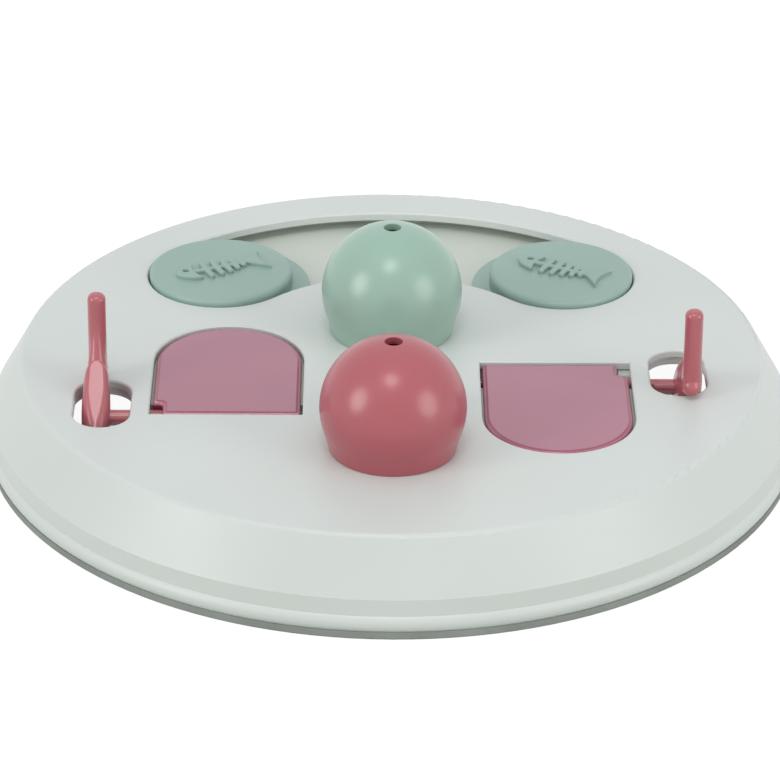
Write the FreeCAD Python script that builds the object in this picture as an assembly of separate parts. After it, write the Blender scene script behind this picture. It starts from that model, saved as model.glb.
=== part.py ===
import FreeCAD, Part
import math
import os

# Cat puzzle board: a round moulded board that rests on a rubber ring, with two
# domes that lift off, two round sliders in a curved track, and two see-through
# lids, each opened by a lever that stands in a hole beside it.
# Millimetres. The origin is the centre of the board on the table, +Z is up,
# +Y is the far side of the board, where the track lies.

os.makedirs("parts", exist_ok=True)

Vec = FreeCAD.Vector
X_AXIS = Vec(1, 0, 0)
Z_AXIS = Vec(0, 0, 1)
closeness = 1e-4

# Board. Its radius drives the layout: places and openings are shares of it.
board_radius = 115.1
board_height = 26.1
plate_wall = 2.3
plate_edge_round = 1.6
bevel_run = 8.4
bevel_foot_inset = 1.8
bevel_foot_height = 11.2
bead_top_inset = 1.2
bead_top_height = 6.6
bead_bulge_height = 4.9
bead_bottom_inset = 0.6
cutout_edge_bevel = 0.4

# Rubber ring under the board
ring_height = 2.35
ring_inset = 0.2
ring_width = 6.2
ring_lip_wall = 1.6
ring_lip_height = 4.5
ring_edge_bevel = 0.5
ring_fit = 0.05

# Curved track and its sliders
track_radius = 0.6056 * board_radius
track_half_width = 0.1859 * board_radius
park_angle = 45.7
track_lip = 5.2
track_wall = 1.6
track_depth = 5.3
slider_gap = 0.4
slider_foot_gap = 0.6
slider_foot_depth = 3.0
slider_floor_gap = 0.25
slider_rise = 1.75
slider_wall = 2.0
slider_edge_bevel = 0.8

# Fishbone in relief on each slider
fish_length = 0.243 * board_radius
fish_rise = 1.0
fish_turn_left = 24.0
fish_turn_right = -28.5

# Domes
dome_radius = 0.1738 * board_radius
dome_centre_share = 0.605
dome_base_share = 0.87
dome_wall = 2.0
dome_hole_radius = 2.5
dome_seat_gap = 0.15
dome_skirt_angle = 22.0
dome_front_y = -0.4874 * board_radius
dome_back_y = 0.126 * board_radius
dish_rim = 6.5
dish_depth = 2.6

# Lids, their openings in the plate and the wells below them. The right-hand
# set is drawn, and half a turn about the middle of the pattern gives the left.
pattern_middle_y = -0.1911 * board_radius
lid_middle_x = 0.399 * board_radius
opening_half_width = 0.1842 * board_radius
opening_straight = 0.2815 * board_radius
opening_flat_offset = 0.1394 * board_radius
lid_gap = 0.7
lid_drop = 0.25
lid_wall = 2.5
lid_edge_round = 1.5
lid_rest_gap = 0.1
notch_past_shaft = 1.3
notch_width = 2.9
notch_corner_round = 1.3
well_ledge = 2.2
well_wall = 1.6
well_depth = 14.0
well_flange = 3.4
well_flange_wall = 2.0
hinge_bay_reach = 4.6
hinge_bay_back = 0.8
keeper_length = 2.7
keeper_gap = 0.4
keeper_drop = 2.7
keeper_edge_round = 1.2

# Hinge that joins each lever to its lid
hinge_inset = 6.1
hinge_drop = 4.0
shaft_radius = 1.65
shaft_fit = 0.08
shaft_float = 0.5
shaft_hold = 4.5
knuckle_radius = 3.0
knuckle_length = 6.5
stub_radius = 1.5
stub_boss_radius = 2.5
stub_boss_length = 3.2
stub_tip_gap = 0.3

# Levers and the holes that they stand in
hole_middle_x = 0.6972 * board_radius
hole_half_width = 0.0678 * board_radius
hole_end_gap = 2.55
hole_edge_round = 0.8
collar_wall = 1.4
collar_setback = 0.5
collar_depth = 2.5
lever_offset = 2.35
drum_radius = 0.0973 * board_radius
drum_width = 7.6
drum_edge_bevel = 1.95
nose_width = 4.6
nose_reach = 1.2
bar_radius = 2.6
bar_overhang = 3.0
bar_foot_gap = 0.4
bar_length = 28.9
shoulder_radius = 3.1
shoulder_back = 0.9
shoulder_length = 15.0
web_foot_gap = 0.6
web_level_share = 0.4
web_knee_share = 1.18

# Screws that hold the track and the wells to posts under the plate
screw_radius = 1.2
screw_head_radius = 2.7
screw_head_height = 1.8
screw_fit = 0.05
screw_way = 0.2
track_screw_bite = 3.0
well_screw_bite = 6.0
pilot_spare = 0.5
post_radius = 3.0
post_gap = 0.4
ear_radius = 3.5
ear_wall = 1.6
track_outer_ear_spread = 14.0
track_inner_ear_spread = 27.0
well_ear_drop = 9.0

# Sizes that follow
bead_top_radius = board_radius - bead_top_inset
bead_bottom_radius = board_radius - bead_bottom_inset
bevel_foot_radius = board_radius - bevel_foot_inset
plate_radius = bevel_foot_radius - bevel_run
bevel_angle = math.atan2(board_height - bevel_foot_height, bevel_run)
wall_inside_radius = bevel_foot_radius - plate_wall / math.sin(bevel_angle)
slider_foot_radius = track_half_width + track_lip - slider_foot_gap
dome_centre_rise = dome_centre_share * dome_radius
dome_base_radius = dome_base_share * dome_radius
dish_radius = dome_radius - dish_rim
dome_places = {"front": (0, dome_front_y), "back": (0, dome_back_y)}
hole_half_length = drum_radius + hole_end_gap
lever_x = hole_middle_x + lever_offset
bar_reach = drum_radius + bar_overhang

# Places that follow
plate_top = board_height
plate_under = plate_top - plate_wall
hinge_z = plate_top - hinge_drop
lid_top = plate_top - lid_drop
lid_under = lid_top - lid_wall
track_floor = plate_top - track_depth
well_floor = plate_top - well_depth
opening_outer_x = lid_middle_x + opening_half_width
opening_inner_x = lid_middle_x - opening_half_width
opening_flat_y = pattern_middle_y + opening_flat_offset
opening_arc_y = opening_flat_y - opening_straight
hinge_y = opening_flat_y - hinge_inset
notch_y = hinge_y - notch_past_shaft
bar_y = hinge_y - bar_reach
bar_foot_z = plate_top + bar_foot_gap + bar_radius
bar_top_z = bar_foot_z - 2 * bar_radius + bar_length


def save(name, shape):
    shape.exportStep("parts/" + name + ".step")


def radial(radius, height):
    return Vec(radius, 0, height)


def line(a, b):
    return Part.LineSegment(a, b).toShape()


def arc(a, middle, b):
    return Part.Arc(a, middle, b).toShape()


def turned(edges):
    """Body of revolution about the Z axis from the edges of half a section."""
    face = Part.Face(Part.Wire(edges))
    return face.revolve(Vec(0, 0, 0), Z_AXIS, 360)


def closed_lines(points):
    ends = points[1:] + points[:1]
    return [line(a, b) for a, b in zip(points, ends)]


def block(x0, x1, y0, y1, z0, z1):
    return Part.makeBox(x1 - x0, y1 - y0, z1 - z0, Vec(x0, y0, z0))


def post(x, y, radius, z0, z1):
    return Part.makeCylinder(radius, z1 - z0, Vec(x, y, z0), Z_AXIS)


def rod(x0, x1, y, z, radius):
    return Part.makeCylinder(radius, x1 - x0, Vec(x0, y, z), X_AXIS)


def half_turn(shape):
    """The left-hand copy of a right-hand piece."""
    copy = shape.copy()
    copy.rotate(Vec(0, pattern_middle_y, 0), Z_AXIS, 180)
    return copy


def level_edges(shape, height):
    """Edges that lie wholly at one height."""
    found = []
    for edge in shape.Edges:
        box = edge.BoundBox
        if abs(box.ZMin - height) < closeness and abs(box.ZMax - height) < closeness:
            found.append(edge)
    return found


def rim_of(shape, prism, height):
    """Edges at one height that lie on the outline of a prism cut from a shape."""
    found = []
    for edge in level_edges(shape, height):
        middle = edge.valueAt((edge.FirstParameter + edge.LastParameter) / 2)
        if prism.isInside(middle, closeness, True):
            found.append(edge)
    return found


def polar(radius, degrees):
    angle = math.radians(degrees)
    return radius * math.cos(angle), radius * math.sin(angle)


def track_prism(half_width, z0, z1):
    """Curved slot with round ends about the board's centre, as a solid."""
    def at(radius, degrees):
        x, y = polar(radius, degrees)
        return Vec(x, y, z0)

    first = 90 - park_angle
    last = 90 + park_angle
    inner = track_radius - half_width
    outer = track_radius + half_width
    first_x, first_y = polar(track_radius, first)
    last_x, last_y = polar(track_radius, last)
    along_x, along_y = polar(half_width, first - 90)
    first_tip = Vec(first_x + along_x, first_y + along_y, z0)
    along_x, along_y = polar(half_width, last + 90)
    last_tip = Vec(last_x + along_x, last_y + along_y, z0)
    wire = Part.Wire([
        arc(at(outer, first), at(outer, 90), at(outer, last)),
        arc(at(outer, last), last_tip, at(inner, last)),
        arc(at(inner, last), at(inner, 90), at(inner, first)),
        arc(at(inner, first), first_tip, at(outer, first)),
    ])
    return Part.Face(wire).extrude(Vec(0, 0, z1 - z0))


def lid_prism(grow, z0, z1):
    """D-shaped prism of a lid opening, grown or shrunk all round."""
    radius = opening_half_width + grow
    flat_y = opening_flat_y + grow
    left = lid_middle_x - radius
    right = lid_middle_x + radius
    wire = Part.Wire([
        line(Vec(right, opening_arc_y, z0), Vec(right, flat_y, z0)),
        line(Vec(right, flat_y, z0), Vec(left, flat_y, z0)),
        line(Vec(left, flat_y, z0), Vec(left, opening_arc_y, z0)),
        arc(Vec(left, opening_arc_y, z0),
            Vec(lid_middle_x, opening_arc_y - radius, z0),
            Vec(right, opening_arc_y, z0)),
    ])
    return Part.Face(wire).extrude(Vec(0, 0, z1 - z0))


def hole_prism(grow, z0, z1):
    """Prism of a lever hole: straight sides and half-round ends."""
    radius = hole_half_width + grow
    straight = hole_half_length - hole_half_width
    body = block(hole_middle_x - radius, hole_middle_x + radius,
                 hinge_y - straight, hinge_y + straight, z0, z1)
    near = post(hole_middle_x, hinge_y - straight, radius, z0, z1)
    far = post(hole_middle_x, hinge_y + straight, radius, z0, z1)
    return body.fuse([near, far]).removeSplitter()


def track_posts():
    """Places of the posts that the track is screwed to."""
    reach = track_half_width + track_lip + track_wall + post_gap + post_radius
    places = []
    for side in (-1, 1):
        places.append(polar(track_radius + reach, 90 + side * track_outer_ear_spread))
        places.append(polar(track_radius - reach, 90 + side * track_inner_ear_spread))
    return places


def well_posts():
    """Places of the posts that the right-hand well is screwed to."""
    clear = well_flange + post_gap + post_radius
    diagonal = (opening_half_width + clear) / math.sqrt(2)
    return [
        (lid_middle_x - diagonal, opening_arc_y - diagonal),
        (lid_middle_x + diagonal, opening_arc_y - diagonal),
        (lid_middle_x, opening_flat_y + clear),
    ]


def both_wells_posts():
    right = well_posts()
    left = [(-x, 2 * pattern_middle_y - y) for x, y in right]
    return right + left


def moulded_post(place, foot, bite):
    """Post under the plate, and the pilot hole in it for a screw."""
    x, y = place
    solid = post(x, y, post_radius, foot, plate_under)
    pilot = post(x, y, screw_radius + screw_fit, foot, foot + bite + pilot_spare)
    return solid, pilot


def board_body():
    """Plate, bevel, band and bead of the board as one turned shell."""
    under_radius = plate_radius - plate_wall * math.tan(bevel_angle / 2)
    section = [
        line(radial(wall_inside_radius, ring_height),
             radial(bead_bottom_radius, ring_height)),
        arc(radial(bead_bottom_radius, ring_height),
            radial(board_radius, bead_bulge_height),
            radial(bead_top_radius, bead_top_height)),
        line(radial(bead_top_radius, bead_top_height),
             radial(bevel_foot_radius, bevel_foot_height)),
        line(radial(bevel_foot_radius, bevel_foot_height),
             radial(plate_radius, plate_top)),
        line(radial(plate_radius, plate_top), radial(0, plate_top)),
        line(radial(0, plate_top), radial(0, plate_under)),
        line(radial(0, plate_under), radial(under_radius, plate_under)),
        line(radial(under_radius, plate_under),
             radial(wall_inside_radius, bevel_foot_height)),
        line(radial(wall_inside_radius, bevel_foot_height),
             radial(wall_inside_radius, ring_height)),
    ]
    body = turned(section)
    return body.makeFillet(plate_edge_round, level_edges(body, plate_top))


def dish(place, radius, depth, height):
    """Shallow round bowl, as the solid that fills it."""
    x, y = place
    ball_radius = (radius ** 2 + depth ** 2) / (2 * depth)
    ball = Part.makeSphere(ball_radius, Vec(x, y, height - depth + ball_radius))
    return ball.common(post(x, y, radius, height - depth, height))


def board_shell():
    body = board_body()
    extra = []
    cuts = []
    for place in dome_places.values():
        extra.append(dish(place, dish_radius + plate_wall / 2,
                          dish_depth + plate_wall / 2, plate_under + plate_wall / 2))
        cuts.append(dish(place, dish_radius, dish_depth, plate_top))
    collar = hole_collar()
    extra += [collar, half_turn(collar)]
    for place in track_posts():
        solid, pilot = moulded_post(place, track_floor, track_screw_bite)
        extra.append(solid)
        cuts.append(pilot)
    for place in both_wells_posts():
        solid, pilot = moulded_post(place, plate_under - well_ear_drop, well_screw_bite)
        extra.append(solid)
        cuts.append(pilot)
    body = body.fuse(extra)
    track_slot = track_prism(track_half_width, plate_under, plate_top)
    lid_opening = lid_prism(0, plate_under, plate_top)
    lever_hole = hole_prism(0, plate_under, plate_top)
    wide_openings = [track_slot, lid_opening, half_turn(lid_opening)]
    lever_holes = [lever_hole, half_turn(lever_hole)]
    body = body.cut(wide_openings + lever_holes + cuts).removeSplitter()
    for opening in wide_openings:
        rim = rim_of(body, opening, plate_top)
        body = body.makeChamfer(cutout_edge_bevel, rim)
    for opening in lever_holes:
        rim = rim_of(body, opening, plate_top)
        body = body.makeFillet(hole_edge_round, rim)
    return body


def hole_collar():
    """Collar under a lever hole, set back from its edge, open for the shaft."""
    bottom = plate_under - collar_depth
    outside = hole_prism(collar_setback + collar_wall, bottom, plate_under)
    inside = hole_prism(collar_setback, bottom, plate_under)
    way = shaft_radius + collar_setback
    shaft_way = block(opening_outer_x, hole_middle_x, hinge_y - way, hinge_y + way,
                      bottom, plate_under)
    return outside.cut([inside, shaft_way])


def rubber_ring():
    """Foot ring with a lip that grips the inside of the board's wall."""
    outer = board_radius - ring_inset
    inner = outer - ring_width
    lip_outer = wall_inside_radius - ring_fit
    lip_inner = lip_outer - ring_lip_wall
    lip_top = ring_height + ring_lip_height
    section = closed_lines([
        radial(inner, 0),
        radial(outer, 0),
        radial(outer, ring_height),
        radial(lip_outer, ring_height),
        radial(lip_outer, lip_top),
        radial(lip_inner, lip_top),
        radial(lip_inner, ring_height),
        radial(inner, ring_height),
    ])
    ring = turned(section)
    outer_edge = max(level_edges(ring, 0), key=lambda edge: edge.Length)
    return ring.makeChamfer(ring_edge_bevel, [outer_edge])


def slide_track():
    """Curved tray under the slot, wide enough for the feet of the sliders."""
    inside = track_half_width + track_lip
    bottom = track_floor - track_wall
    tray = track_prism(inside + track_wall, bottom, plate_under)
    ears = []
    holes = []
    for x, y in track_posts():
        middle_angle = math.degrees(math.atan2(y, x))
        inward_x, inward_y = polar(track_radius, middle_angle)
        ears.append(ear((x, y), (inward_x, inward_y), track_floor))
        holes.append(ear_hole((x, y), track_floor))
    tray = tray.fuse(ears)
    hollow = track_prism(inside, track_floor, plate_under)
    return tray.cut([hollow] + holes).removeSplitter()


def ear(place, towards, top):
    """Flat ear that reaches from a post's foot back into the tray it holds."""
    x, y = place
    run_x = towards[0] - x
    run_y = towards[1] - y
    run = math.hypot(run_x, run_y)
    angle = math.degrees(math.atan2(run_y, run_x))
    arm = block(0, min(run, 3 * ear_radius), -ear_radius, ear_radius,
                top - ear_wall, top)
    arm.rotate(Vec(0, 0, 0), Z_AXIS, angle)
    arm.translate(Vec(x, y, 0))
    return arm.fuse(post(x, y, ear_radius, top - ear_wall, top))


def ear_hole(place, top):
    x, y = place
    return post(x, y, screw_radius + screw_way, top - ear_wall, top)


def treat_well():
    """Well under a lid, with a ledge that the lid lies on and a hinge bay."""
    bottom = well_floor - well_wall
    flange_under = plate_under - well_flange_wall
    ledge_top = lid_under - lid_rest_gap
    bay_front = hinge_y - hinge_bay_reach
    bay_back = opening_flat_y + hinge_bay_back

    def bay(grow, z0, z1):
        return block(opening_inner_x - grow, opening_outer_x + grow,
                     bay_front - grow, bay_back + grow, z0, z1)

    flange = lid_prism(well_flange, flange_under, plate_under)
    tub = lid_prism(well_wall - well_ledge, bottom, plate_under)
    ear_top = plate_under - well_ear_drop
    ears = []
    holes = []
    for x, y in well_posts():
        target_y = max(opening_arc_y, min(y, hinge_y))
        ears.append(ear((x, y), (lid_middle_x, target_y), ear_top))
        holes.append(ear_hole((x, y), ear_top))
    well = flange.fuse([tub, bay(well_wall, bottom, plate_under)] + ears)
    cuts = [
        lid_prism(-well_ledge, well_floor, plate_under),
        bay(0, well_floor, plate_under),
        lid_prism(0, ledge_top, plate_under),
        shaft_saddle(),
        rod(opening_inner_x - well_flange, opening_inner_x, hinge_y, hinge_z,
            stub_radius + shaft_fit),
    ]
    return well.cut(cuts + holes).fuse(keeper()).removeSplitter()


def shaft_saddle():
    """Open-topped bearing in the outer wall, closed above by the plate."""
    radius = shaft_radius + shaft_fit
    outer_x = opening_outer_x + well_flange
    bore = rod(opening_outer_x, outer_x, hinge_y, hinge_z, radius)
    mouth = block(opening_outer_x, outer_x, hinge_y - radius, hinge_y + radius,
                  hinge_z, plate_under)
    return bore.fuse(mouth)


def keeper():
    """Block in the corner of the bay, in the lid's notch, beside the shaft."""
    back = opening_flat_y + hinge_bay_back + well_wall / 2
    front = opening_flat_y - keeper_length
    inner = opening_outer_x - lid_gap - notch_width + keeper_gap
    top = plate_top - keeper_drop
    body = block(inner, opening_outer_x + well_wall / 2, front, back,
                 well_floor - well_wall / 2, top)
    front_edge = min(level_edges(body, top), key=lambda edge: edge.BoundBox.YMax)
    return body.makeFillet(keeper_edge_round, [front_edge])


def slider(angle, fish_turn):
    """Round slider: a capped disc on a wider foot, hollow from below."""
    cap_radius = track_half_width - slider_gap
    cap_top = plate_top + slider_rise
    foot_bottom = track_floor + slider_floor_gap
    foot_top = plate_top - slider_foot_depth
    hollow_radius = cap_radius - slider_wall
    outside = post(0, 0, slider_foot_radius, foot_bottom, foot_top)
    outside = outside.fuse(post(0, 0, cap_radius, foot_bottom, cap_top))
    outside = outside.makeChamfer(slider_edge_bevel, level_edges(outside, cap_top))
    hollow = post(0, 0, hollow_radius, foot_bottom, cap_top - slider_wall)
    body = outside.cut(hollow).removeSplitter()
    relief = fishbone(cap_top)
    relief.rotate(Vec(0, 0, 0), Z_AXIS, fish_turn)
    body = body.fuse(relief).removeSplitter()
    x, y = polar(track_radius, angle)
    body.translate(Vec(x, y, 0))
    return body


def fishbone(base):
    """Plain fishbone: head with an eye, a spine with five ribs, a tail.

    It lies along X with its head at -X, and is drawn for a length of 28."""
    unit = fish_length / 28
    rise = fish_rise + slider_wall / 4

    def at(x, y):
        return Vec(x * unit, y * unit, base - slider_wall / 4)

    def raised(wire):
        return Part.Face(wire).extrude(Vec(0, 0, rise))

    def mirrored_polygon(upper):
        lower = [(x, -y) for x, y in reversed(upper)]
        points = [at(x, y) for x, y in upper + lower]
        return raised(Part.makePolygon(points + points[:1]))

    head = raised(Part.Wire([
        arc(at(-14.0, 0), at(-11.6, 3.0), at(-7.2, 4.5)),
        arc(at(-7.2, 4.5), at(-8.4, 0), at(-7.2, -4.5)),
        arc(at(-7.2, -4.5), at(-11.6, -3.0), at(-14.0, 0)),
    ]))
    eye = Part.makeCylinder(0.9 * unit, 2 * rise, at(-10.6, 1.2) + Vec(0, 0, rise / 2))
    spine = mirrored_polygon([(-9.0, 0.8), (8.6, 0.6)])
    tail = raised(Part.Wire([
        line(at(7.6, 0), at(14.0, 5.6)),
        arc(at(14.0, 5.6), at(12.4, 0), at(14.0, -5.6)),
        line(at(14.0, -5.6), at(7.6, 0)),
    ]))
    pieces = [spine, tail]
    for middle, reach in fish_ribs():
        pieces.append(mirrored_polygon([
            (middle - 0.85, 0),
            (middle - 0.45, reach),
            (middle + 0.75, reach),
            (middle + 0.85, 0),
        ]))
    return head.cut(eye).fuse(pieces).removeSplitter()


def fish_ribs():
    """Place along the spine and half length of each rib, shorter to the tail."""
    rib_count = 5
    place = -4.6
    step = 3.25
    step_loss = 0.3
    reach = 5.1
    reach_loss = 0.32
    ribs = []
    for number in range(rib_count):
        ribs.append((place, reach))
        place += step - step_loss * number
        reach -= reach_loss * (number + 1)
    return ribs


def dome(place):
    """Hollow dome with a finger hole in its top, open below."""
    centre = plate_top + dome_centre_rise
    base = plate_top + dome_seat_gap
    skirt = math.radians(dome_skirt_angle)
    inner_radius = dome_radius - dome_wall

    def on_ball(radius, angle):
        return radial(radius * math.cos(angle), centre + radius * math.sin(angle))

    def at_hole(radius):
        return radial(dome_hole_radius,
                      centre + math.sqrt(radius ** 2 - dome_hole_radius ** 2))

    section = [
        arc(at_hole(dome_radius), on_ball(dome_radius, math.radians(45)),
            on_ball(dome_radius, -skirt)),
        line(on_ball(dome_radius, -skirt), radial(dome_base_radius, base)),
        line(radial(dome_base_radius, base),
             radial(dome_base_radius - dome_wall, base)),
        line(radial(dome_base_radius - dome_wall, base), on_ball(inner_radius, -skirt)),
        arc(on_ball(inner_radius, -skirt), on_ball(inner_radius, math.radians(45)),
            at_hole(inner_radius)),
        line(at_hole(inner_radius), at_hole(dome_radius)),
    ]
    shell = turned(section)
    x, y = place
    shell.translate(Vec(x, y, 0))
    return shell


def lid():
    """See-through lid with a corner notch, its knuckle and its inner stub."""
    outer_x = opening_outer_x - lid_gap
    inner_x = opening_inner_x + lid_gap
    notch_x = outer_x - notch_width
    plate = lid_prism(-lid_gap, lid_under, lid_top)
    notch = block(notch_x, opening_outer_x, notch_y, opening_flat_y,
                  lid_under, lid_top)
    inward = [edge for edge in notch.Edges
              if edge.BoundBox.XMax < notch_x + closeness
              and edge.BoundBox.YMax < notch_y + closeness]
    notch = notch.makeFillet(notch_corner_round, inward)
    plate = plate.cut(notch)
    plate = plate.makeFillet(lid_edge_round, level_edges(plate, lid_top))
    knuckle = hinge_barrel(notch_x - knuckle_length, notch_x, knuckle_radius)
    boss = hinge_barrel(inner_x, inner_x + stub_boss_length, stub_boss_radius)
    stub_tip = opening_inner_x - well_wall + stub_tip_gap
    stub = rod(stub_tip, inner_x + stub_boss_length / 2, hinge_y, hinge_z,
               stub_radius)
    body = plate.fuse([knuckle, boss, stub])
    bore = rod(shaft_tip_x() - shaft_float, opening_outer_x, hinge_y, hinge_z,
               shaft_radius + shaft_fit / 2)
    return body.cut(bore).removeSplitter()


def hinge_barrel(x0, x1, radius):
    """Round barrel on the hinge line that hangs from the lid."""
    barrel = rod(x0, x1, hinge_y, hinge_z, radius)
    return barrel.fuse(block(x0, x1, hinge_y - radius, hinge_y + radius,
                             hinge_z, lid_under + lid_wall / 2))


def shaft_tip_x():
    """Inner end of the shaft in the lid's knuckle."""
    return opening_outer_x - lid_gap - notch_width - shaft_hold


def lever():
    """Lever: an upright bar on a lens-shaped body in its hole, and the shaft."""
    bar_end_z = bar_top_z - bar_radius
    bar = post(lever_x, bar_y, bar_radius, bar_foot_z, bar_end_z)
    bar = bar.fuse([
        Part.makeSphere(bar_radius, Vec(lever_x, bar_y, bar_foot_z)),
        Part.makeSphere(bar_radius, Vec(lever_x, bar_y, bar_end_z)),
    ])
    shaft = rod(shaft_tip_x(), lever_x, hinge_y, hinge_z, shaft_radius)
    return lever_body().fuse([lever_shoulder(), bar, shaft]).removeSplitter()


def lever_body():
    """Body of a lever: thick at the hinge, thin at its nose, rising to the bar."""
    half = drum_width / 2
    nose_y = hinge_y + drum_radius + nose_reach
    bottom = hinge_z - drum_radius
    foot = plate_top + web_foot_gap - hinge_z
    foot_angle = math.asin(foot / drum_radius)
    knee = web_knee_share * drum_radius
    knee_reach = bar_reach - bar_radius
    level_end = web_level_share * drum_radius

    def plan(across, y):
        return Vec(lever_x + across, y, bottom)

    def side(reach, height):
        return Vec(lever_x - half, hinge_y - reach, hinge_z + height)

    def on_drum(angle):
        return side(drum_radius * math.cos(angle), drum_radius * math.sin(angle))

    outline = Part.Wire([
        arc(plan(-bar_radius, bar_y), plan(-half, hinge_y), plan(-nose_width / 2, nose_y)),
        line(plan(-nose_width / 2, nose_y), plan(nose_width / 2, nose_y)),
        arc(plan(nose_width / 2, nose_y), plan(half, hinge_y), plan(bar_radius, bar_y)),
        line(plan(bar_radius, bar_y), plan(-bar_radius, bar_y)),
    ])
    lens = Part.Face(outline).extrude(Vec(0, 0, drum_radius + knee))
    run = knee_reach - level_end
    rise = knee - drum_radius
    sweep_radius = (run ** 2 + rise ** 2) / (2 * rise)
    half_sweep = math.asin(run / sweep_radius) / 2
    sweep_middle = side(level_end + sweep_radius * math.sin(half_sweep),
                        drum_radius + sweep_radius * (1 - math.cos(half_sweep)))
    profile = Part.Wire([
        line(side(bar_reach, foot), side(bar_reach, knee)),
        line(side(bar_reach, knee), side(knee_reach, knee)),
        arc(side(knee_reach, knee), sweep_middle, side(level_end, drum_radius)),
        line(side(level_end, drum_radius), on_drum(math.pi / 2)),
        arc(on_drum(math.pi / 2), on_drum(math.pi), on_drum(foot_angle)),
        line(on_drum(foot_angle), side(bar_reach, foot)),
    ])
    body = lens.common(Part.Face(profile).extrude(Vec(drum_width, 0, 0)))
    return body.makeChamfer(drum_edge_bevel, lever_rim(body))


def lever_rim(body):
    """Long edges on both sides of a lever's body, over its top and its nose."""
    long_edges = []
    for edge in body.Edges:
        box = edge.BoundBox
        runs_over = box.YLength > bar_radius and box.ZMax > plate_top + drum_width / 2
        if runs_over and box.XLength < drum_width / 2:
            long_edges.append(edge)
    return long_edges


def lever_shoulder():
    """Cone that thickens the back of the bar where it comes down to the body."""
    foot = Vec(lever_x, bar_y + shoulder_back, bar_foot_z)
    top_radius = bar_radius - shoulder_back
    return Part.makeCone(shoulder_radius, top_radius, shoulder_length, foot)


def screw(place, seat, length):
    """Pan-head screw that goes up through an ear that ends at seat."""
    x, y = place
    head = post(x, y, screw_head_radius, seat - screw_head_height, seat)
    shank = post(x, y, screw_radius, seat, seat + length)
    return head.fuse(shank).removeSplitter()


def track_screws():
    seat = track_floor - ear_wall
    length = ear_wall + track_screw_bite
    return Part.makeCompound([screw(place, seat, length) for place in track_posts()])


def well_screws():
    seat = plate_under - well_ear_drop - ear_wall
    length = ear_wall + well_screw_bite
    return Part.makeCompound([screw(place, seat, length) for place in both_wells_posts()])


def with_float(shape):
    """Levers stand to one side within the play of their shafts."""
    copy = shape.copy()
    copy.translate(Vec(shaft_float, 0, 0))
    return copy


def main():
    save("board_shell", board_shell())
    save("rubber_ring", rubber_ring())
    save("slide_track", slide_track())
    save("track_screws", track_screws())
    save("slider_left", slider(90 + park_angle, fish_turn_left))
    save("slider_right", slider(90 - park_angle, fish_turn_right))
    save("dome_front", dome(dome_places["front"]))
    save("dome_back", dome(dome_places["back"]))
    right_well = treat_well()
    save("treat_well_right", right_well)
    save("treat_well_left", half_turn(right_well))
    save("well_screws", well_screws())
    right_lid = lid()
    save("lid_right", right_lid)
    save("lid_left", half_turn(right_lid))
    right_lever = lever()
    save("lever_right", with_float(right_lever))
    save("lever_left", with_float(half_turn(right_lever)))


main()
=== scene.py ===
import math

import bpy
import numpy as np
from mathutils import Matrix, Vector


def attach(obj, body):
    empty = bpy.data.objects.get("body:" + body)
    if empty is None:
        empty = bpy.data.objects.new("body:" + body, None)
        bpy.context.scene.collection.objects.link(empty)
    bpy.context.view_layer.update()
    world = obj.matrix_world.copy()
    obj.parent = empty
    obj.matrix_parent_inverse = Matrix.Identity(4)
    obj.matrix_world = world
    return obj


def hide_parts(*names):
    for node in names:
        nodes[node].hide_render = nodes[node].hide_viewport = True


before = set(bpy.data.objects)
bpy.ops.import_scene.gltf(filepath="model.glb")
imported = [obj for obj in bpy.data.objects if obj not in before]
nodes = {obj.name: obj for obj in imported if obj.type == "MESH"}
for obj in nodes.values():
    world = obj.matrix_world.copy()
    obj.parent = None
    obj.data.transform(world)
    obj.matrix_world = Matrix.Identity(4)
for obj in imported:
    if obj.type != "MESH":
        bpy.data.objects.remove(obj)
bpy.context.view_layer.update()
MM = 0.001

# Camera of the photograph, in the board's frame (metres and degrees)
CAMERA_PLACE = Vector((-0.00929, -1.0648, 0.5760))
CAMERA_HEADING = 0.478
CAMERA_PITCH = 27.844
CAMERA_ROLL = 0.50
CAMERA_LENS = 194.8

# Colours of the plastics and the rubber, 0 to 255
BOARD_GREY = (206, 211, 209)
TRAY_GREY = (196, 202, 194)
RUBBER_GREY = (143, 148, 145)
SOFT_PINK = (172, 85, 95)
# Levers: the pink plastic painted lighter than the domes', a painted sheen for the highlight
# streaks on their bars
LEVER_PINK_PAINTED_SHEEN = (177, 93, 102)
SOFT_GREEN = (149, 181, 167)
DISC_GREEN = (147, 173, 165)
LID_PINK = (205, 140, 162)
# Lid: painted dark reflection line on the round edge
LID_PAINTED_DARK_LINE_PINK = (180, 96, 119)
# Lid: painted shade on the parts that lie below the plate
LID_PAINTED_SHADE_PINK = (140, 52, 76)
# Lid: painted highlight on the steep part of the round edge
LID_PAINTED_HIGHLIGHT_PINK = (218, 140, 164)
STEEL_GREY = (160, 162, 165)

# Light of the sky on the object, at the horizon and straight above
SKY_LOW = 0.38
SKY_HIGH = 0.87
SKY_TINT = (0.955, 0.985, 1.0, 1)

# Floor: the colour that lights the object from below, and the white that the
# camera, mirrors and see-through pieces get, which keeps a share of the shadow
FLOOR_SIZE = 6.0
FLOOR_DRIFT = 0.98
FLOOR_ALBEDO = (0.58, 0.59, 0.53)
FLOOR_GLOW = 0.95
FLOOR_SHADOW_SHARE = 0.10

# Softboxes: direction, distance, width and height in metres, power in watts
SOFTBOXES = {
    "softbox_left": ((-0.80, -0.43, 0.40), 1.8, 0.80, 1.05, 9.5),
    "softbox_right": ((0.80, -0.48, 0.33), 1.8, 0.95, 1.15, 9.0),
    "softbox_top": ((-0.056, -0.375, 0.925), 1.8, 0.58, 0.58, 5.0),
}
SOFTBOX_TINT = (1.0, 1.0, 0.95)

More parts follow.
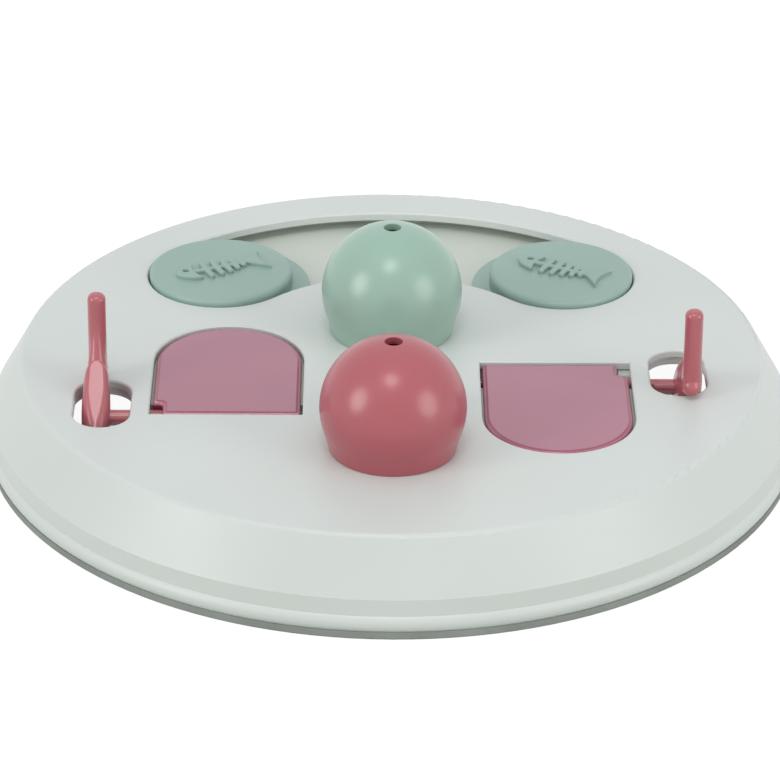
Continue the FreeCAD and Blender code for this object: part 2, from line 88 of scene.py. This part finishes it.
# Surfaces: what the noise is spread over, the plastics' gloss, and the angle
# from which an edge stays sharp, in degrees
NOISE_LOW = 0.2
NOISE_HIGH = 0.8
PLASTIC_IOR = 1.49
COAT_ROUGHNESS = 0.22
SHARP_ANGLE = 40

# Layout of the board in millimetres, as in the part's source
BOARD_RADIUS = 115.1
PATTERN_MIDDLE_Y = -0.1911 * BOARD_RADIUS
HINGE_INSET = 6.1
HINGE_Z = 22.1
OPENING_FLAT_Y = PATTERN_MIDDLE_Y + 0.1394 * BOARD_RADIUS
LEVER_OFFSET = 2.35
LEVER_FLOAT = 0.5
LEVER_X = 0.6972 * BOARD_RADIUS + LEVER_OFFSET
TRACK_RADIUS = 0.6056 * BOARD_RADIUS
PARK_ANGLE = 45.7

# Lids: heights in metres between which the painted shade low down turns into
# the colour at the plate's level. The rest is how far up a surface looks, 1
# being straight up, where the painted highlight of the round edge ends, its
# painted dark reflection line starts and ends, the flat is full, and the
# underside starts and is full
LID_PAINTED_SHADE_HEIGHT = 0.0244
LID_SHADE_END_HEIGHT = 0.0251
LID_PAINTED_HIGHLIGHT_END = 0.80
LID_DARK_LINE_START = 0.90
LID_DARK_LINE_END = 0.97
LID_FLAT_START = 0.998
LID_UNDER_START = -0.5
LID_UNDER_FULL = -0.9

# Slider: disc with a round edge on a wider foot, hollow below
DISC_RADIUS = 21.0
DISC_TOP = 27.85
DISC_EDGE = 1.4
DISC_WALL = 2.0
DISC_FLAT_END = 0.6
DISC_FOOT_ROUND = 0.3
DISC_SIDES = 160
FOOT_RADIUS = 26.0
FOOT_TOP = 23.1
FOOT_BOTTOM = 21.05
FOOT_EDGE = 0.35
FOOT_FLAT_END = 0.3
FOOT_BEVEL = 0.2

# Fishbone in relief, measured from its middle with the head at -X. The head is
# two arcs, each with its centre past the spine, cut off by the arc of the gills
FISH_TURN = {"left": 24.0, "right": -28.5}
FISH_RISE = 1.2
FISH_EDGE = 0.5
FISH_SUNK = 0.4
FISH_STEP = 0.16
FISH_LOW = (-14.8, -6.4, -0.8)
FISH_HIGH = (14.8, 6.4, 1.6)
HEAD_MIDDLE = (-7.07, -3.08)
HEAD_RADIUS = 7.585
GILL_X = 0.64
GILL_RADIUS = 9.04
EYE_MIDDLE = (-10.6, 1.2)
EYE_RADIUS = 0.95
TAIL_START = 7.6
TAIL_RUN = 6.4
TAIL_REACH = 5.6
TAIL_NOTCH_X = 23.0
TAIL_NOTCH_RADIUS = 10.6
SPINE_START = -9.0
SPINE_END = 8.6
SPINE_START_HALF = 0.85
SPINE_END_HALF = 0.65

# Ribs of the fishbone: each next one is nearer and shorter towards the tail
RIB_COUNT = 5
RIB_START = -4.6
RIB_SPACE = 3.25
RIB_SPACE_LOSS = 0.3
RIB_REACH = 5.1
RIB_REACH_LOSS = 0.32
RIB_LEAN = 0.15
RIB_ROUND_END = 0.75
RIB_START_HALF = 0.98
RIB_END_HALF = 0.78

# Lever, measured from the middle of its hinge: a lens-shaped body whose back
# slopes up from the nose as a flat band and steepens to a shoulder against the
# bar, and a ball at the bar's foot. First the body, which gets thinner away from
# the hinge by its bends, and the round of its lower edge
DRUM_RADIUS = 11.2
LENS_HALF = 4.02
LENS_LEAST_HALF = LENS_HALF / 3
LENS_NOSE_BEND = 0.0168
LENS_BAR_BEND = 0.0129
LOW_EDGE = 2.4
EDGE_DEPTH = 4.0
WEB_FOOT = 4.6

# Back of the lever: where the slope turns into the shoulder, and the flat band
BACK_REACH = 7.9
BACK_HEIGHT = 13.1
BACK_SLOPE = 0.9
SHOULDER_SLOPE = 1.5
SHOULDER_BEND = 0.14
BAND_HALF = 2.2
BAND_MIDDLE = 4.6
BAND_LENGTH = 10.4
BAND_END = 2.0
BAND_MOST_SHARE = 0.5

# Bar of the lever, the ball at its foot, and how softly they join
BAR_REACH = 14.2
BAR_HALF = 2.52
BAR_CORNER = 2.3
BAR_TOP = 30.7
BAR_TOP_EDGE = 1.8
BALL_RADIUS = 2.62
BALL_REACH = 15.1
BALL_HEIGHT = 7.35
BALL_JOIN = 0.4
BAR_JOIN = 0.8

# Shaft of the lever, with a sleeve that lies a little lower
SHAFT_RADIUS = 1.65
SHAFT_LENGTH = 23.57
SLEEVE_RADIUS = 2.2
SLEEVE_DROP = 0.75
SLEEVE_END = 9.6
ROD_EDGE = 0.3
ROD_SIDES = 40

# Mesh of a lever: its step, and the room round it in the box that is meshed
LEVER_STEP = 0.25
LEVER_ROOM = 1.0
NOSE_ROOM = 1.5
BALL_ROOM = 1.8


def linear(colour):
    """Scene-linear colour of an 8-bit display colour, with alpha 1."""
    made = []
    for value in colour:
        share = value / 255
        if share <= 0.04045:
            made.append(share / 12.92)
        else:
            made.append(((share + 0.055) / 1.055) ** 2.4)
    return (*made, 1.0)


def scaled(colour, factor):
    """Display colour made lighter or darker."""
    return tuple(min(255, value * factor) for value in colour)


class Nodes:
    """Short way to add and link the nodes of one material."""

    def __init__(self, name):
        self.material = bpy.data.materials.new(name)
        self.material.use_nodes = True
        self.tree = self.material.node_tree
        self.tree.nodes.clear()
        self.output = self.add("ShaderNodeOutputMaterial")

    def add(self, kind, **inputs):
        node = self.tree.nodes.new(kind)
        for name, value in inputs.items():
            socket = node.inputs[name.replace("_", " ")]
            if isinstance(value, bpy.types.NodeSocket):
                self.tree.links.new(value, socket)
            else:
                socket.default_value = value
        return node

    def link(self, source, target):
        self.tree.links.new(source, target)

    def place(self):
        return self.add("ShaderNodeTexCoord").outputs["Object"]

    def noise(self, scale, detail=3.0, roughness=0.5):
        node = self.add("ShaderNodeTexNoise", Scale=scale, Detail=detail,
                        Roughness=roughness, Vector=self.place())
        return node.outputs["Fac"]

    def spread(self, factor, low, high):
        """Maps a noise, which lies around one half, softly to low..high."""
        node = self.add("ShaderNodeMapRange", Value=factor)
        node.interpolation_type = "SMOOTHSTEP"
        node.inputs["From Min"].default_value = NOISE_LOW
        node.inputs["From Max"].default_value = NOISE_HIGH
        node.inputs["To Min"].default_value = low
        node.inputs["To Max"].default_value = high
        return node.outputs["Result"]

    def blend(self, factor, first, second):
        node = self.tree.nodes.new("ShaderNodeMix")
        node.data_type = "RGBA"
        self.link(factor, node.inputs[0])
        for socket, value in ((node.inputs[6], first), (node.inputs[7], second)):
            if isinstance(value, bpy.types.NodeSocket):
                self.link(value, socket)
            else:
                socket.default_value = value
        return node.outputs[2]

    def ramp(self, factor, stops):
        """Colour ramp from (position, colour) pairs."""
        node = self.add("ShaderNodeValToRGB", Fac=factor)
        elements = node.color_ramp.elements
        while len(elements) < len(stops):
            elements.new(1.0)
        for element, (position, colour) in zip(elements, stops):
            element.position = position
            element.color = colour
        return node.outputs["Color"]

    def bump(self, height, strength, distance):
        node = self.add("ShaderNodeBump", Height=height, Strength=strength,
                        Distance=distance)
        return node.outputs["Normal"]

    def finish(self, shader):
        self.link(shader.outputs[0], self.output.inputs["Surface"])
        return self.material


def moulded_plastic(name, colour, roughness, grain, coat=0.0):
    """Moulded plastic: faint colour drift, fine grain and uneven gloss."""
    n = Nodes(name)
    drift = n.spread(n.noise(scale=14.0), 0.0, 1.0)
    darker = linear(scaled(colour, 0.985))
    lighter = linear(scaled(colour, 1.012))
    tint = n.blend(drift, darker, lighter)
    gloss = n.spread(n.noise(scale=55.0), roughness * 0.9, roughness * 1.1)
    fine = n.bump(n.noise(scale=2600.0, detail=2.0), strength=grain, distance=0.00005)
    shader = n.add("ShaderNodeBsdfPrincipled", Base_Color=tint, Roughness=gloss,
                   Normal=fine)
    shader.inputs["IOR"].default_value = PLASTIC_IOR
    shader.inputs["Coat Weight"].default_value = coat
    shader.inputs["Coat Roughness"].default_value = COAT_ROUGHNESS
    return n.finish(shader)


def rubber():
    """Matt rubber with a dusty, slightly pitted face."""
    n = Nodes("foot_rubber")
    drift = n.spread(n.noise(scale=40.0, detail=6.0), 0.0, 1.0)
    darker = linear(scaled(RUBBER_GREY, 0.92))
    lighter = linear(scaled(RUBBER_GREY, 1.06))
    tint = n.blend(drift, darker, lighter)
    pits = n.bump(n.noise(scale=1500.0, detail=4.0), strength=0.35, distance=0.0001)
    shader = n.add("ShaderNodeBsdfPrincipled", Base_Color=tint, Roughness=0.85,
                   Normal=pits)
    return n.finish(shader)


def tinted_plastic_with_painted_light():
    """See-through pink of the lids, with a painted highlight and a painted dark
    reflection line on its round edge, and painted shade on its knuckles and on the lower part of
    its rim."""
    n = Nodes("tinted_lid_plastic")
    drift = n.spread(n.noise(scale=20.0), 0.0, 1.0)
    darker = linear(scaled(LID_PINK, 0.97))
    lighter = linear(scaled(LID_PINK, 1.02))
    flat = n.blend(drift, darker, lighter)
    facing = n.add("ShaderNodeSeparateXYZ",
                   Vector=n.add("ShaderNodeTexCoord").outputs["Normal"]).outputs["Z"]
    # Painted highlight low on the round edge, turning into a painted dark reflection line higher
    # up the round
    edge = n.ramp(facing, [(LID_PAINTED_HIGHLIGHT_END, linear(LID_PAINTED_HIGHLIGHT_PINK)),
                           (LID_DARK_LINE_START, linear(LID_PAINTED_DARK_LINE_PINK))])
    is_flat = n.ramp(facing, [(LID_DARK_LINE_END, (0, 0, 0, 1)), (LID_FLAT_START, (1, 1, 1, 1))])
    # Painted shade: everything lower than the plate's level takes the dark pink
    height = n.add("ShaderNodeSeparateXYZ", Vector=n.place()).outputs["Z"]
    unshaded = n.add("ShaderNodeMapRange", Value=height, From_Min=LID_PAINTED_SHADE_HEIGHT,
                     From_Max=LID_SHADE_END_HEIGHT).outputs["Result"]
    # Painted shade below the plate's level, over the painted highlight and dark line of the
    # round edge
    tint_with_painted_light = n.blend(unshaded, linear(LID_PAINTED_SHADE_PINK), n.blend(is_flat, edge, flat))
    is_under = n.add("ShaderNodeMapRange", Value=facing, From_Min=LID_UNDER_START,
                     From_Max=LID_UNDER_FULL).outputs["Result"]
    tint = n.blend(is_under, tint_with_painted_light, flat)
    body = n.add("ShaderNodeBsdfPrincipled", Base_Color=tint, Roughness=0.16)
    body.inputs["IOR"].default_value = PLASTIC_IOR
    body.inputs["Transmission Weight"].default_value = 0.35
    return n.finish(body)


def steel():
    """Plain steel of the screws, with uneven gloss."""
    n = Nodes("screw_steel")
    gloss = n.spread(n.noise(scale=900.0, detail=2.0), 0.28, 0.45)
    shader = n.add("ShaderNodeBsdfPrincipled", Base_Color=linear(STEEL_GREY),
                   Roughness=gloss, Metallic=1.0)
    return n.finish(shader)


def smooth_join(first, second, radius):
    """Distance to the union of two shapes with a rounded valley between."""
    share = np.clip(0.5 + 0.5 * (second - first) / radius, 0, 1)
    return second * (1 - share) + first * share - radius * share * (1 - share)


def round_meet(first, second, radius):
    """Distance to what two shapes share, where their edge is rounded."""
    outside = np.hypot(np.maximum(first + radius, 0), np.maximum(second + radius, 0))
    return np.minimum(np.maximum(first, second) + radius, 0) + outside - radius


def surface(field, low, high, step):
    """Points and quads of the surface where a field of distances is zero."""
    axes = [np.arange(a, b + step, step) for a, b in zip(low, high)]
    value = field(*np.meshgrid(*axes, indexing="ij"))
    cells = [count - 1 for count in value.shape]
    place = np.zeros(cells + [3])
    count = np.zeros(cells)
    crossings = []
    for axis in range(3):
        one, two = (axis + 1) % 3, (axis + 2) % 3
        start = np.take(value, range(cells[axis]), axis)
        end = np.take(value, range(1, cells[axis] + 1), axis)
        crosses = (start < 0) != (end < 0)
        share = np.where(crosses, start / np.where(crosses, start - end, 1), 0)
        crossings.append((crosses, start < 0))
        for i in (0, 1):
            for j in (0, 1):
                window = [slice(None)] * 3
                window[one] = slice(i, i + cells[one])
                window[two] = slice(j, j + cells[two])
                hit = crosses[tuple(window)]
                count += hit
                place[..., axis] += share[tuple(window)]
                place[..., one] += hit * i
                place[..., two] += hit * j
    used = count > 0
    number = np.full(cells, -1)
    number[used] = np.arange(used.sum())
    points = np.argwhere(used) + place[used] / count[used][:, None]
    points = np.array(low) + points * step
    quads = []
    for axis, (crosses, outward) in enumerate(crossings):
        one, two = np.eye(3, dtype=int)[[(axis + 1) % 3, (axis + 2) % 3]]
        edges = np.argwhere(crosses)
        corners = [edges, edges - one, edges - one - two, edges - two]
        quad = np.stack([number[tuple(corner.T)] for corner in corners], 1)
        forward = outward[tuple(edges.T)]
        quads.append(np.where(forward[:, None], quad, quad[:, ::-1]))
    return settle(points, field, step), np.concatenate(quads)


def settle(points, field, step):
    """Moves points near a surface onto it, down the slope of the field."""
    passes = 2
    small = step / 10
    least_steep = 0.1
    for _ in range(passes):
        value = field(*points.T)
        slope = []
        for axis in range(3):
            moved = points.copy()
            moved[:, axis] += small
            slope.append((field(*moved.T) - value) / small)
        slope = np.stack(slope, 1)
        steep = np.maximum((slope ** 2).sum(1), least_steep)
        points = points - slope * (value / steep)[:, None]
    return points


def lathe(profile, sides):
    """Points and faces of a profile of (radius, height) turned about Z."""
    points = []
    rings = []
    for radius, height in profile:
        if radius == 0:
            rings.append([len(points)] * sides)
            points.append((0, 0, height))
            continue
        rings.append(list(range(len(points), len(points) + sides)))
        for number in range(sides):
            angle = 2 * math.pi * number / sides
            points.append((radius * math.cos(angle), radius * math.sin(angle), height))
    faces = []
    for upper, lower in zip(rings, rings[1:]):
        for number in range(sides):
            after = (number + 1) % sides
            corners = [upper[number], lower[number], lower[after], upper[after]]
            face = list(dict.fromkeys(corners))
            if len(face) > 2:
                faces.append(face)
    return np.array(points), faces


def round_corner(radius, height, edge, start, end, steps=8):
    """Profile points of a rounded edge about (radius, height), in degrees."""
    made = []
    for number in range(steps + 1):
        angle = math.radians(start + (end - start) * number / steps)
        made.append((radius + edge * math.cos(angle), height + edge * math.sin(angle)))
    return made


def merged(parts):
    """One list of points and faces from several."""
    points = []
    faces = []
    for part_points, part_faces in parts:
        start = sum(len(group) for group in points)
        points.append(np.asarray(part_points, dtype=float))
        faces += [[corner + start for corner in face] for face in part_faces]
    return np.concatenate(points), faces


def make_piece(name, points, faces, body, node, material):
    """Mesh object from millimetres that takes the place of a CAD node."""
    mesh = bpy.data.meshes.new(name)
    mesh.from_pydata((points * MM).tolist(), [], [list(map(int, face)) for face in faces])
    mesh.update()
    mesh.polygons.foreach_set("use_smooth", [True] * len(mesh.polygons))
    mesh.set_sharp_from_angle(angle=math.radians(SHARP_ANGLE))
    mesh.materials.append(material)
    piece = bpy.data.objects.new(name, mesh)
    bpy.context.scene.collection.objects.link(piece)
    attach(piece, body)
    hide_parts(node)
    return piece


def back_field(along, up):
    """Distance to the sloping back and shoulder of a lever, seen from its side."""
    past = along - BACK_REACH
    rise = np.maximum(past, 0)
    shoulder = (SHOULDER_SLOPE + SHOULDER_BEND * rise) * rise
    height = BACK_HEIGHT + BACK_SLOPE * (past - rise) + shoulder
    slope = np.where(past < 0, BACK_SLOPE, SHOULDER_SLOPE + 2 * SHOULDER_BEND * rise)
    return (up - height) / np.hypot(1, slope)


def band_half_width(along):
    """Half width of the flat band on a lever's back: a petal, round at its top."""
    petal = 1 - ((along - BAND_MIDDLE) / BAND_LENGTH) ** 2
    end = np.sqrt(np.clip((BACK_REACH - along) / BAND_END, 0, 1))
    return BAND_HALF * np.clip(petal, 0, 1) * end


def lever_field(across, along, up):
    """Distance to a lever without its shaft, from the middle of its hinge."""
    bend = np.where(along < 0, LENS_NOSE_BEND, LENS_BAR_BEND)
    half = np.maximum(LENS_HALF - bend * along ** 2, LENS_LEAST_HALF)
    half = np.where(along > 0, np.maximum(half, BAR_HALF), half)
    edge = half - np.minimum(band_half_width(along), half * BAND_MOST_SHARE)
    body = round_meet(back_field(along, up) * edge / EDGE_DEPTH, np.abs(across) - half, edge)
    drum = np.hypot(along, up) - DRUM_RADIUS
    web = np.maximum(np.maximum(WEB_FOOT - up, -along), along - BAR_REACH)
    body = round_meet(body, np.minimum(drum, web), LOW_EDGE)
    flat = BAR_HALF - BAR_CORNER
    bar = np.hypot(np.maximum(np.abs(across) - flat, 0),
                   np.maximum(np.abs(along - BAR_REACH) - flat, 0)) - BAR_CORNER
    bar = round_meet(bar, up - BAR_TOP, BAR_TOP_EDGE)
    bar = np.maximum(bar, BALL_HEIGHT - up)
    ball = np.sqrt(across ** 2 + (along - BALL_REACH) ** 2 + (up - BALL_HEIGHT) ** 2)
    bar = smooth_join(bar, ball - BALL_RADIUS, BALL_JOIN)
    return smooth_join(body, bar, BAR_JOIN)


def lever_rod(radius, length):
    """Round rod that runs inward from the lever, to -X of the right-hand one."""
    points, faces = lathe([(0, 0), (radius, 0), (radius, length - ROD_EDGE),
                           (radius - ROD_EDGE, length), (0, length)], ROD_SIDES)
    return np.stack([-points[:, 2], points[:, 1], points[:, 0]], 1), faces


def make_levers(material):
    """Both levers: the left-hand one is the other turned half round, and both
    stand LEVER_FLOAT to +X."""
    low = (-LENS_HALF - LEVER_ROOM, -DRUM_RADIUS - NOSE_ROOM, -DRUM_RADIUS - LEVER_ROOM)
    high = (LENS_HALF + LEVER_ROOM, BAR_REACH + BAR_HALF + BALL_ROOM, BAR_TOP + LEVER_ROOM)
    body = surface(lever_field, low, high, LEVER_STEP)
    shaft = lever_rod(SHAFT_RADIUS, SHAFT_LENGTH)
    sleeve, sleeve_faces = lever_rod(SLEEVE_RADIUS, SLEEVE_END)
    sleeve[:, 2] -= SLEEVE_DROP
    points, faces = merged([body, shaft, (sleeve, sleeve_faces)])
    hinge_y = OPENING_FLAT_Y - HINGE_INSET
    for side, turn in (("right", 1), ("left", -1)):
        placed = np.stack([turn * (points[:, 0] + LEVER_X) + LEVER_FLOAT,
                           PATTERN_MIDDLE_Y + turn * (hinge_y - PATTERN_MIDDLE_Y - points[:, 1]),
                           points[:, 2] + HINGE_Z], 1)
        mirrored = [face[::-1] for face in faces]
        make_piece("lever_" + side + "_body", placed, mirrored, "flap_" + side,
                   "lever_" + side, material)


def stroke(x, y, start, end, start_half, end_half):
    """Distance to a straight stroke with round ends that tapers."""
    run_x = end[0] - start[0]
    run_y = end[1] - start[1]
    share = ((x - start[0]) * run_x + (y - start[1]) * run_y) / (run_x ** 2 + run_y ** 2)
    share = np.clip(share, 0, 1)
    off = np.hypot(x - start[0] - share * run_x, y - start[1] - share * run_y)
    return off - start_half - share * (end_half - start_half)


def fish_field(x, y, up):
    """Distance to the fishbone in relief, head at -X, 28 mm long."""
    side = np.abs(y)
    head = np.hypot(x - HEAD_MIDDLE[0], side - HEAD_MIDDLE[1]) - HEAD_RADIUS
    head = np.maximum(head, GILL_RADIUS - np.hypot(x - GILL_X, y))
    head = np.maximum(head, EYE_RADIUS - np.hypot(x - EYE_MIDDLE[0], y - EYE_MIDDLE[1]))
    tail = (TAIL_RUN * side - TAIL_REACH * (x - TAIL_START)) / math.hypot(TAIL_RUN, TAIL_REACH)
    tail = np.maximum(tail, TAIL_NOTCH_RADIUS - np.hypot(x - TAIL_NOTCH_X, y))
    spine = stroke(x, y, (SPINE_START, 0), (SPINE_END, 0), SPINE_START_HALF, SPINE_END_HALF)
    shape = np.minimum(np.minimum(head, tail), spine)
    place = RIB_START
    reach = RIB_REACH
    for number in range(RIB_COUNT):
        tip = (place + RIB_LEAN, reach - RIB_ROUND_END)
        rib = stroke(x, side, (place, 0), tip, RIB_START_HALF, RIB_END_HALF)
        shape = np.minimum(shape, rib)
        place += RIB_SPACE - RIB_SPACE_LOSS * number
        reach -= RIB_REACH_LOSS * (number + 1)
    raised = round_meet(shape, up - FISH_RISE, FISH_EDGE)
    return np.maximum(raised, -FISH_SUNK - up)


def slider_profile():
    """Half section of a slider, from the middle of its top to below the cap."""
    inner = DISC_RADIUS - DISC_WALL
    ceiling = DISC_TOP - DISC_WALL
    top = [(0, DISC_TOP), (DISC_RADIUS - DISC_EDGE - DISC_FLAT_END, DISC_TOP)]
    top += round_corner(DISC_RADIUS - DISC_EDGE, DISC_TOP - DISC_EDGE, DISC_EDGE, 90, 0)
    step = [(DISC_RADIUS, FOOT_TOP + DISC_FOOT_ROUND + FOOT_BEVEL)]
    step += round_corner(DISC_RADIUS + DISC_FOOT_ROUND, FOOT_TOP + DISC_FOOT_ROUND,
                         DISC_FOOT_ROUND, 180, 270, 4)
    foot = [(FOOT_RADIUS - FOOT_EDGE - FOOT_FLAT_END, FOOT_TOP)]
    foot += round_corner(FOOT_RADIUS - FOOT_EDGE, FOOT_TOP - FOOT_EDGE, FOOT_EDGE, 90, 0, 4)
    foot += [(FOOT_RADIUS, FOOT_BOTTOM + FOOT_BEVEL), (FOOT_RADIUS - FOOT_BEVEL, FOOT_BOTTOM)]
    below = [(inner + FOOT_BEVEL, FOOT_BOTTOM), (inner, FOOT_BOTTOM + FOOT_BEVEL)]
    below += [(inner, ceiling - DISC_FLAT_END), (inner - DISC_FLAT_END, ceiling), (0, ceiling)]
    return top + step + foot + below


def make_sliders(material):
    """Both discs with their fishbones, parked at the ends of the track."""
    fish_points, fish_faces = surface(fish_field, FISH_LOW, FISH_HIGH, FISH_STEP)
    disc = lathe(slider_profile(), DISC_SIDES)
    park = math.radians(PARK_ANGLE)
    for side, sign in (("left", -1), ("right", 1)):
        turn = math.radians(FISH_TURN[side])
        x, y, up = fish_points.T
        turned = np.stack([x * math.cos(turn) - y * math.sin(turn),
                           x * math.sin(turn) + y * math.cos(turn),
                           up + DISC_TOP], 1)
        points, faces = merged([disc, (turned, fish_faces)])
        points[:, 0] += sign * TRACK_RADIUS * math.sin(park)
        points[:, 1] += TRACK_RADIUS * math.cos(park)
        make_piece("slider_" + side + "_disc", points, faces, "disc_" + side,
                   "slider_" + side, material)


def paint(names, material):
    """Gives CAD nodes a material and smooth shading."""
    for name in names:
        piece = nodes[name]
        piece.data.materials.clear()
        piece.data.materials.append(material)
        for polygon in piece.data.polygons:
            polygon.use_smooth = True


def make_object():
    """Dresses the CAD nodes and makes the levers and sliders."""
    paint(["board_shell"],
          moulded_plastic("board_plastic", BOARD_GREY, roughness=0.40, grain=0.25))
    paint(["slide_track", "treat_well_left", "treat_well_right"],
          moulded_plastic("tray_plastic", TRAY_GREY, roughness=0.38, grain=0.2))
    paint(["rubber_ring"], rubber())
    paint(["dome_front"],
          moulded_plastic("pink_plastic", SOFT_PINK, roughness=0.31, grain=0.08, coat=0.3))
    # The levers' pink is painted lighter, a painted sheen for the streaks on their bars
    make_levers(
        moulded_plastic("lever_plastic", LEVER_PINK_PAINTED_SHEEN, roughness=0.24, grain=0.08, coat=0.3))
    paint(["dome_back"],
          moulded_plastic("green_plastic", SOFT_GREEN, roughness=0.31, grain=0.08, coat=0.3))
    make_sliders(moulded_plastic("disc_plastic", DISC_GREEN, roughness=0.40, grain=0.15))
    # The lids' material paints a highlight, a dark reflection line and shade into its colour
    paint(["lid_left", "lid_right"], tinted_plastic_with_painted_light())
    paint(["track_screws", "well_screws"], steel())


def white_rays(tree):
    """1 for camera, glossy and transmission rays, and 0 for the rest."""
    path = tree.nodes.new("ShaderNodeLightPath")
    either = path.outputs["Is Camera Ray"]
    for name in ("Is Glossy Ray", "Is Transmission Ray"):
        larger = tree.nodes.new("ShaderNodeMath")
        larger.operation = "MAXIMUM"
        tree.links.new(either, larger.inputs[0])
        tree.links.new(path.outputs[name], larger.inputs[1])
        either = larger.outputs[0]
    return either


def make_floor():
    """Pale floor that looks white to the camera and keeps a faint shadow."""
    bpy.ops.mesh.primitive_plane_add(size=FLOOR_SIZE, location=(0, 0, 0))
    floor = bpy.context.object
    floor.name = "studio_floor"
    n = Nodes("studio_floor")
    shade = (*(value * FLOOR_DRIFT for value in FLOOR_ALBEDO), 1)
    drift = n.spread(n.noise(scale=300.0), 0.0, 1.0)
    tint = n.blend(drift, shade, (*FLOOR_ALBEDO, 1))
    lit = n.add("ShaderNodeBsdfDiffuse", Color=tint)
    share = (FLOOR_SHADOW_SHARE,) * 3 + (1,)
    shadow = n.add("ShaderNodeBsdfDiffuse", Color=share)
    glow = n.add("ShaderNodeEmission", Color=(1, 1, 1, 1), Strength=FLOOR_GLOW)
    both = n.add("ShaderNodeAddShader")
    n.link(shadow.outputs[0], both.inputs[0])
    n.link(glow.outputs[0], both.inputs[1])
    mix = n.add("ShaderNodeMixShader")
    n.link(white_rays(n.tree), mix.inputs[0])
    n.link(lit.outputs[0], mix.inputs[1])
    n.link(both.outputs[0], mix.inputs[2])
    floor.data.materials.append(n.finish(mix))


def make_world():
    """White to the camera, mirrors and see-through pieces, a soft sky otherwise."""
    world = bpy.data.worlds.new("studio")
    bpy.context.scene.world = world
    world.use_nodes = True
    tree = world.node_tree
    tree.nodes.clear()
    output = tree.nodes.new("ShaderNodeOutputWorld")
    mix = tree.nodes.new("ShaderNodeMixShader")
    seen = tree.nodes.new("ShaderNodeBackground")
    light = tree.nodes.new("ShaderNodeBackground")
    seen.inputs["Color"].default_value = (1, 1, 1, 1)
    seen.inputs["Strength"].default_value = 1.0
    light.inputs["Color"].default_value = SKY_TINT
    height = tree.nodes.new("ShaderNodeSeparateXYZ")
    tree.links.new(tree.nodes.new("ShaderNodeTexCoord").outputs["Generated"], height.inputs[0])
    rise = tree.nodes.new("ShaderNodeMapRange")
    rise.inputs["To Min"].default_value = SKY_LOW
    rise.inputs["To Max"].default_value = SKY_HIGH
    tree.links.new(height.outputs["Z"], rise.inputs["Value"])
    tree.links.new(rise.outputs["Result"], light.inputs["Strength"])
    tree.links.new(white_rays(tree), mix.inputs[0])
    tree.links.new(light.outputs[0], mix.inputs[1])
    tree.links.new(seen.outputs[0], mix.inputs[2])
    tree.links.new(mix.outputs[0], output.inputs["Surface"])


def make_lights():
    """Area lights that look at the board from their directions."""
    for name, (direction, distance, width, height, power) in SOFTBOXES.items():
        data = bpy.data.lights.new(name, "AREA")
        data.shape = "ELLIPSE"
        data.size = width
        data.size_y = height
        data.energy = power
        data.color = SOFTBOX_TINT
        light = bpy.data.objects.new(name, data)
        bpy.context.scene.collection.objects.link(light)
        away = Vector(direction).normalized()
        light.location = away * distance
        light.rotation_mode = "QUATERNION"
        light.rotation_quaternion = away.to_track_quat("Z", "Y")
        light.visible_camera = False


def make_camera():
    """Camera of the photograph, from its place, heading, pitch and roll."""
    heading = math.radians(CAMERA_HEADING)
    pitch = math.radians(CAMERA_PITCH)
    roll = math.radians(CAMERA_ROLL)
    forward = Vector((math.sin(heading) * math.cos(pitch),
                      math.cos(heading) * math.cos(pitch),
                      -math.sin(pitch)))
    level = Vector((math.cos(heading), -math.sin(heading), 0))
    right = level * math.cos(roll) + level.cross(forward) * math.sin(roll)
    up = right.cross(forward)
    data = bpy.data.cameras.new("photo_camera")
    data.lens = CAMERA_LENS
    data.sensor_width = 36
    data.clip_end = 20
    camera = bpy.data.objects.new("photo_camera", data)
    bpy.context.scene.collection.objects.link(camera)
    camera.matrix_world = Matrix((
        (right.x, up.x, -forward.x, CAMERA_PLACE.x),
        (right.y, up.y, -forward.y, CAMERA_PLACE.y),
        (right.z, up.z, -forward.z, CAMERA_PLACE.z),
        (0, 0, 0, 1),
    ))
    bpy.context.scene.camera = camera


make_object()
make_floor()
make_world()
make_lights()
make_camera()
bpy.context.scene.view_settings.view_transform = "Standard"
